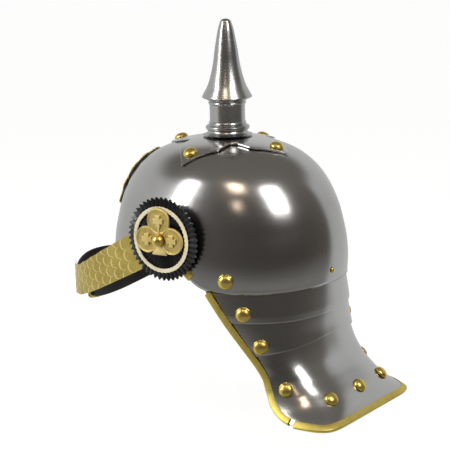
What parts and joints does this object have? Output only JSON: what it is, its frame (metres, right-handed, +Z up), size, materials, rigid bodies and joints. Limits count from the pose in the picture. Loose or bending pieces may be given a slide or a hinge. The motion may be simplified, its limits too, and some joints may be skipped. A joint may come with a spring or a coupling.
{
  "type": "spiked steel helmet",
  "caption": "Polished steel helmet with a turned spike, a lobster-tail neck guard, brass edging and studs, side cockades and a brass-scaled chin strap.",
  "frame": {"origin": "middle of the head opening, on the spike's axis and level with the skull's lower edge at the back, where the helmet sits round the head", "axes": "+Z up along the spike, -Y towards the wearer's front, +X towards the wearer's left"},
  "size_m": [0.2374, 0.3471, 0.3657],
  "materials": {
    "steel": "polished, finely brushed",
    "edging_brass": "polished",
    "stud_brass": "polished",
    "badge_brass": "stamped, satin fields",
    "scale_brass": "stamped, polished",
    "pleated_leather": "lacquered pleats",
    "leather": "smooth",
    "cream_ring": "matt",
    "felt": "matt"
  },
  "bodies": {
    "root": {"skull": "steel", "lame_upper": "steel", "lame_lower": "steel", "neck_guard": "steel", "spike_base": "steel", "spike": "steel", "skull_edging": "edging_brass", "tail_edging_left": "edging_brass", "tail_edging_right": "edging_brass", "rim_edging": "edging_brass", "base_stud_front": "stud_brass", "base_stud_back": "stud_brass", "base_stud_left": "stud_brass", "base_stud_right": "stud_brass", "back_rivet": "stud_brass", "guard_stud_left_side": "stud_brass", "guard_stud_left_corner": "stud_brass", "guard_stud_middle": "stud_brass", "guard_stud_right_corner": "stud_brass", "guard_stud_right_side": "stud_brass", "side_rivet_left_1": "stud_brass", "side_rivet_left_2": "stud_brass", "side_rivet_left_3": "stud_brass", "side_rivet_right_1": "stud_brass", "side_rivet_right_2": "stud_brass", "side_rivet_right_3": "stud_brass", "front_plate": "badge_brass", "front_backing": "felt", "cockade_left": "pleated_leather", "cockade_ring_left": "cream_ring", "trefoil_left": "badge_brass", "trefoil_boss_left": "stud_brass", "chin_leather_left": "leather", "chin_scales_left": "scale_brass", "cockade_right": "pleated_leather", "cockade_ring_right": "cream_ring", "trefoil_right": "badge_brass", "trefoil_boss_right": "stud_brass", "chin_leather_right": "leather", "chin_scales_right": "scale_brass"}
  },
  "joints": []
}
